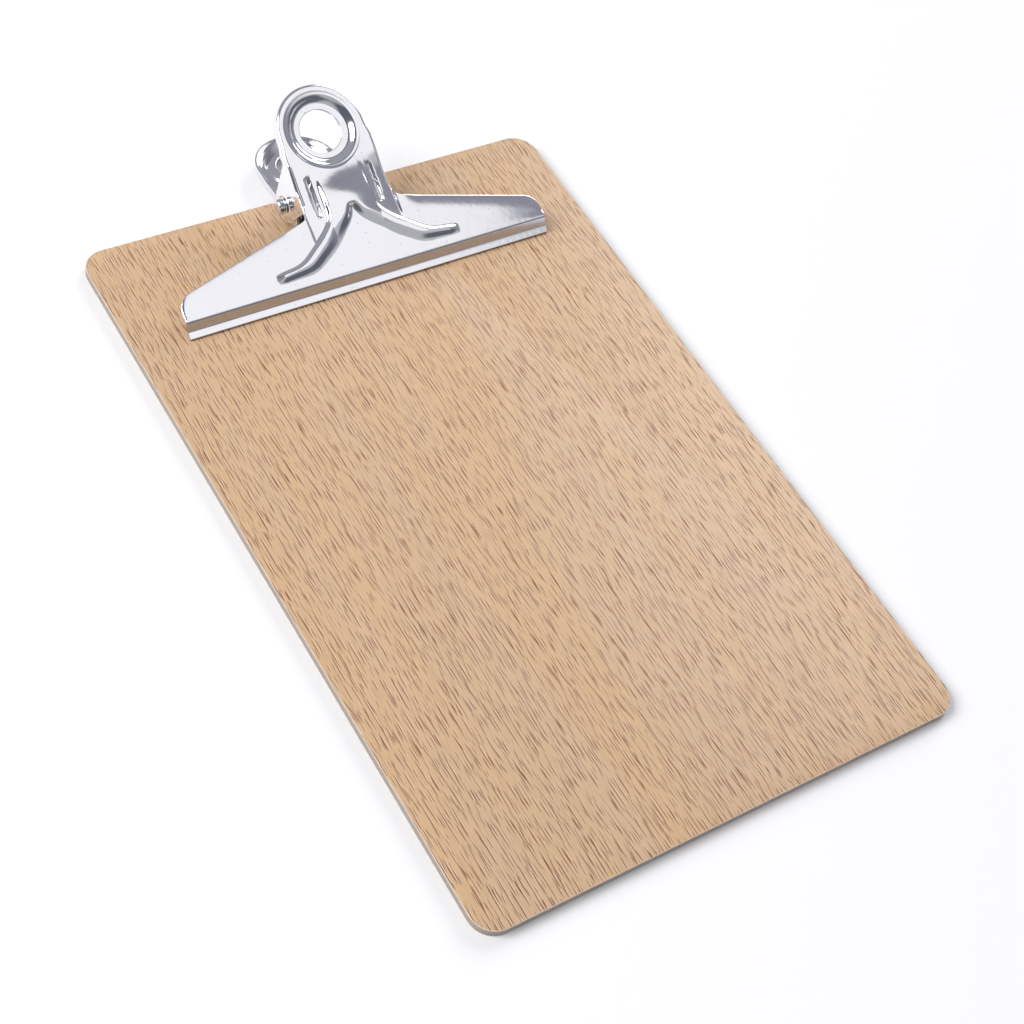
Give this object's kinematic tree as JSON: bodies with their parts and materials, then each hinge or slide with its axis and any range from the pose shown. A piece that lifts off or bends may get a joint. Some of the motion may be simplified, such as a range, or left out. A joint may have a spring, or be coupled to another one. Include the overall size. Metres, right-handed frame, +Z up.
{
  "type": "clipboard",
  "caption": "Small veneered clipboard with a wide sprung metal clip at its top edge and two ring handles that are squeezed together to lift the jaw.",
  "frame": {"origin": "centre of the board's underside, on the surface that the clipboard rests on", "axes": "+X to the right across the board, +Y along the board towards the clip, +Z up out of the writing face"},
  "size_m": [0.152, 0.2537, 0.0343],
  "materials": {
    "beech_face": "satin lacquered beech veneer",
    "beech_back": "satin lacquered beech veneer",
    "board_edge": "sealed fibreboard edge",
    "jaw_nickel": "bright nickel plate on pressed steel",
    "base_nickel": "bright nickel plate on pressed steel",
    "spring_wire": "drawn spring wire",
    "pin_steel": "nickel-plated pin",
    "rivet_steel": "nickel-plated rivet",
    "washer_steel": "plain zinc-plated washer"
  },
  "bodies": {
    "board_and_base": {"board_core": "board_edge", "front_veneer": "beech_face", "back_veneer": "beech_back", "base_plate": "base_nickel", "spring_left": "spring_wire", "spring_right": "spring_wire", "hinge_pin": "pin_steel", "base_rivets": "rivet_steel", "rivet_washers": "washer_steel"},
    "jaw": {"upper_jaw": "jaw_nickel"}
  },
  "joints": [
    {"name": "jaw_hinge", "type": "hinge", "parent": "board_and_base", "child": "jaw", "pos_m": [0, 0.1075, 0.0094], "axis": [-1, 0, 0], "range_deg": [0, 20], "stiffness_Nm_per_rad": 0.02, "springref_deg": -11.46, "deforming": ["spring_left", "spring_right"]}
  ]
}
